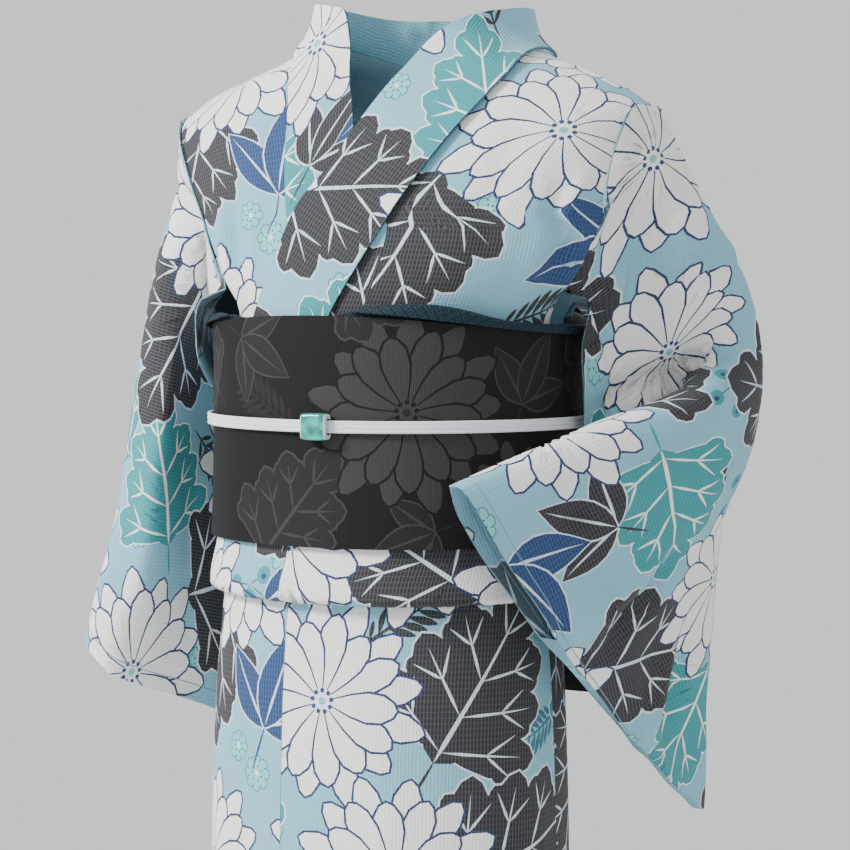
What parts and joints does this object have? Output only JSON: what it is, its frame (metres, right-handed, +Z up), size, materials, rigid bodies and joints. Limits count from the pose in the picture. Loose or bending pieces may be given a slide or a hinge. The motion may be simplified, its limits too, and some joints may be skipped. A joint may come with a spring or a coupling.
{
  "type": "cotton yukata robe",
  "caption": "Light cotton kimono-style robe with wide sleeves, a lapped collar and a folded waist, held by a broad patterned sash, a silk scarf and a cord with a bead.",
  "frame": {"origin": "where the wearer holds the robe up: the middle of the line between the two shoulder tops, at shoulder height", "axes": "+Z up, -Y the way the wearer faces, +X the wearer's left"},
  "size_m": [0.5552, 0.3808, 1.3259],
  "materials": {
    "robe_cotton": "printed cotton with fine ribs",
    "sash_weave": "dark figured weave",
    "scarf_silk": "small diamond figure, soft sheen",
    "cord_braid": "flat braid",
    "bead_glaze": "glossy glaze"
  },
  "bodies": {
    "root": {"panel_left": "robe_cotton", "panel_right": "robe_cotton", "overlap_left": "robe_cotton", "overlap_right": "robe_cotton", "collar": "robe_cotton", "sleeve_left": "robe_cotton", "sleeve_right": "robe_cotton", "obi_band": "sash_weave", "obi_drum": "sash_weave", "obi_tail": "sash_weave", "obi_hand": "sash_weave", "obiage": "scarf_silk", "obijime": "cord_braid", "obidome": "bead_glaze"}
  },
  "joints": []
}
